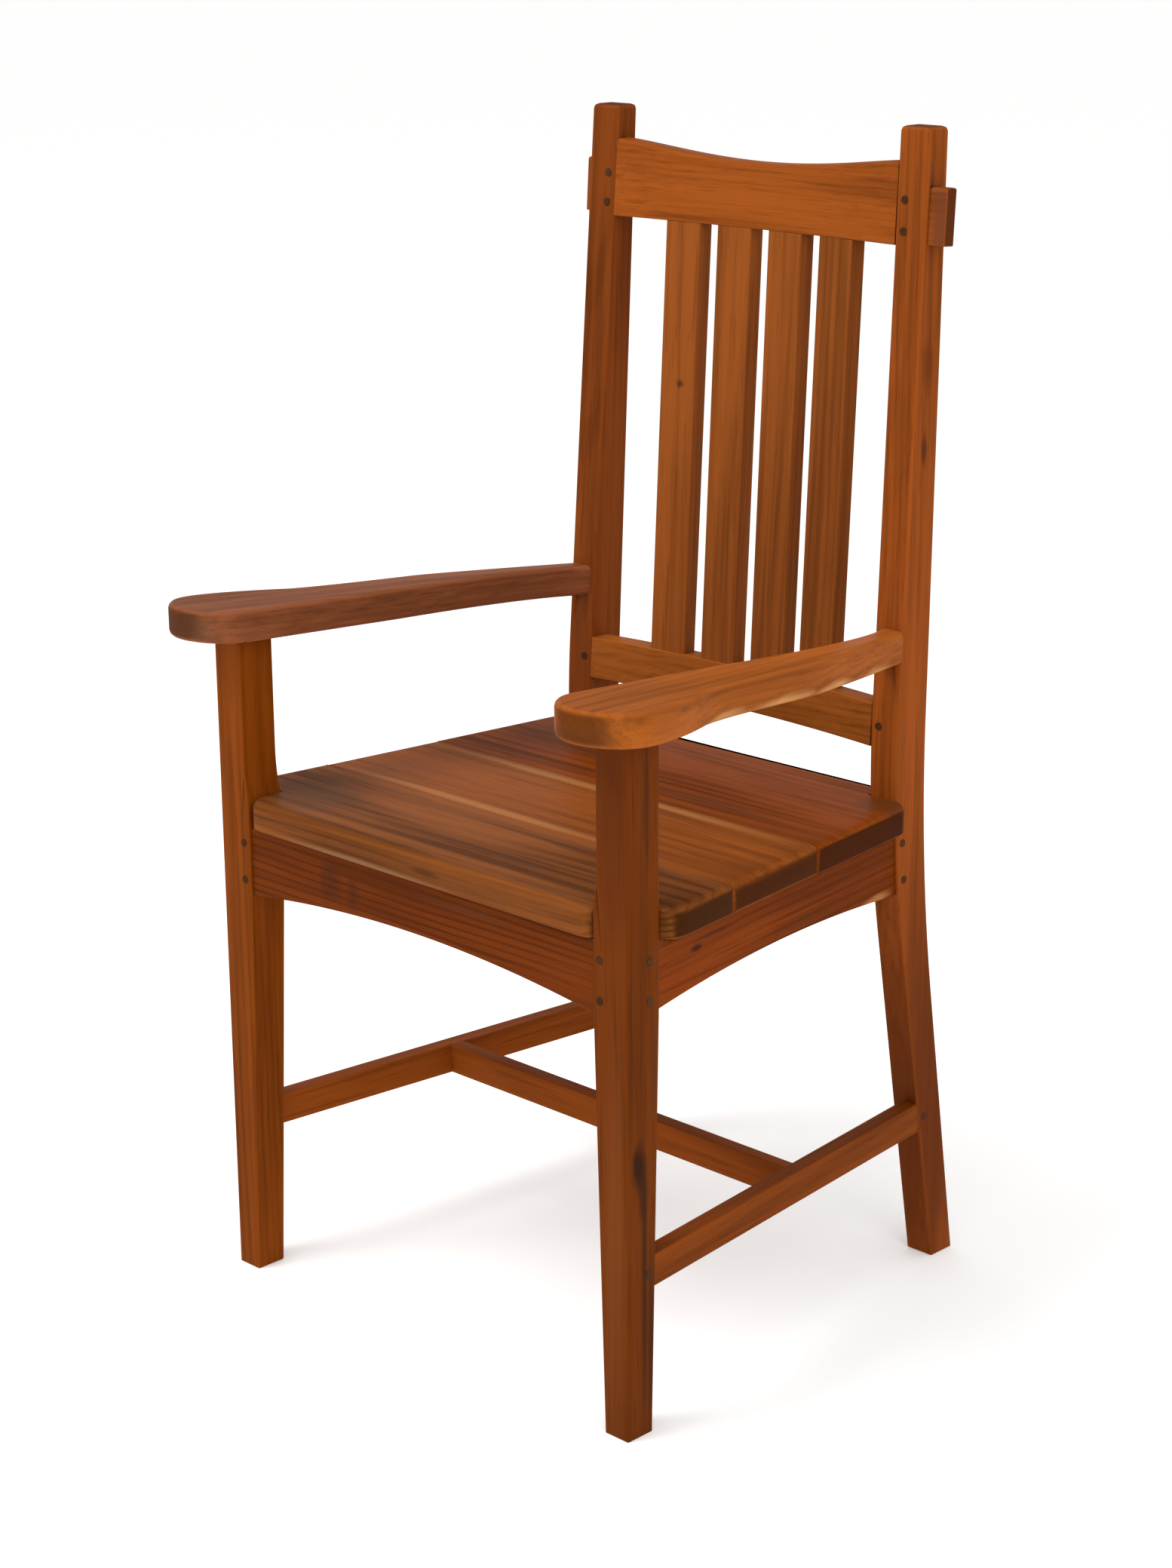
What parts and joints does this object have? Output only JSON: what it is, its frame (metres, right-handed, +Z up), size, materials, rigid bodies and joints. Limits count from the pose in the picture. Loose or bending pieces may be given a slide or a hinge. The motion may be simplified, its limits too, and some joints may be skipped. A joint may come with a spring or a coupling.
{
  "type": "armchair",
  "caption": "Wooden armchair with flat round-ended arms, a tall raked back of upright slats, a board seat, arched aprons and an H of stretchers.",
  "frame": {"origin": "middle of the chair's footprint on the floor, from the arms' front tips to the back feet", "axes": "+Z up, the chair faces -Y, +X is the sitter's left"},
  "size_m": [0.572, 0.538, 1.052],
  "materials": {
    "frame_wood": "oiled hardwood with a fine grain, satin",
    "arm_wood": "oiled hardwood, lighter and worn matte on top",
    "back_wood": "oiled hardwood, satin",
    "seat_wood": "darker brown boards with pale sapwood streaks, satin",
    "peg_wood": "dark end grain, a hair proud of the wood round it",
    "block_wood": "plain unfinished wood",
    "screw_steel": "plain steel"
  },
  "bodies": {
    "root": {"front_leg_left": "frame_wood", "front_leg_right": "frame_wood", "back_post_left": "frame_wood", "back_post_right": "frame_wood", "front_apron": "frame_wood", "rear_apron": "frame_wood", "side_apron_left": "frame_wood", "side_apron_right": "frame_wood", "side_stretcher_left": "frame_wood", "side_stretcher_right": "frame_wood", "cross_stretcher": "frame_wood", "seat_board_front": "seat_wood", "seat_board_middle": "seat_wood", "seat_board_back": "seat_wood", "seat_spline_front": "block_wood", "seat_spline_rear": "block_wood", "crest_rail": "back_wood", "lower_back_rail": "back_wood", "back_slat_1": "back_wood", "back_slat_2": "back_wood", "back_slat_3": "back_wood", "back_slat_4": "back_wood", "arm_left": "arm_wood", "arm_right": "arm_wood", "corner_block_front_left": "block_wood", "corner_block_front_right": "block_wood", "corner_block_rear_left": "block_wood", "corner_block_rear_right": "block_wood", "crest_rail_pegs": "peg_wood", "lower_back_rail_pegs": "peg_wood", "front_apron_pegs": "peg_wood", "rear_apron_pegs": "peg_wood", "side_apron_pegs": "peg_wood", "side_stretcher_pegs": "peg_wood", "seat_screws": "screw_steel"}
  },
  "joints": []
}
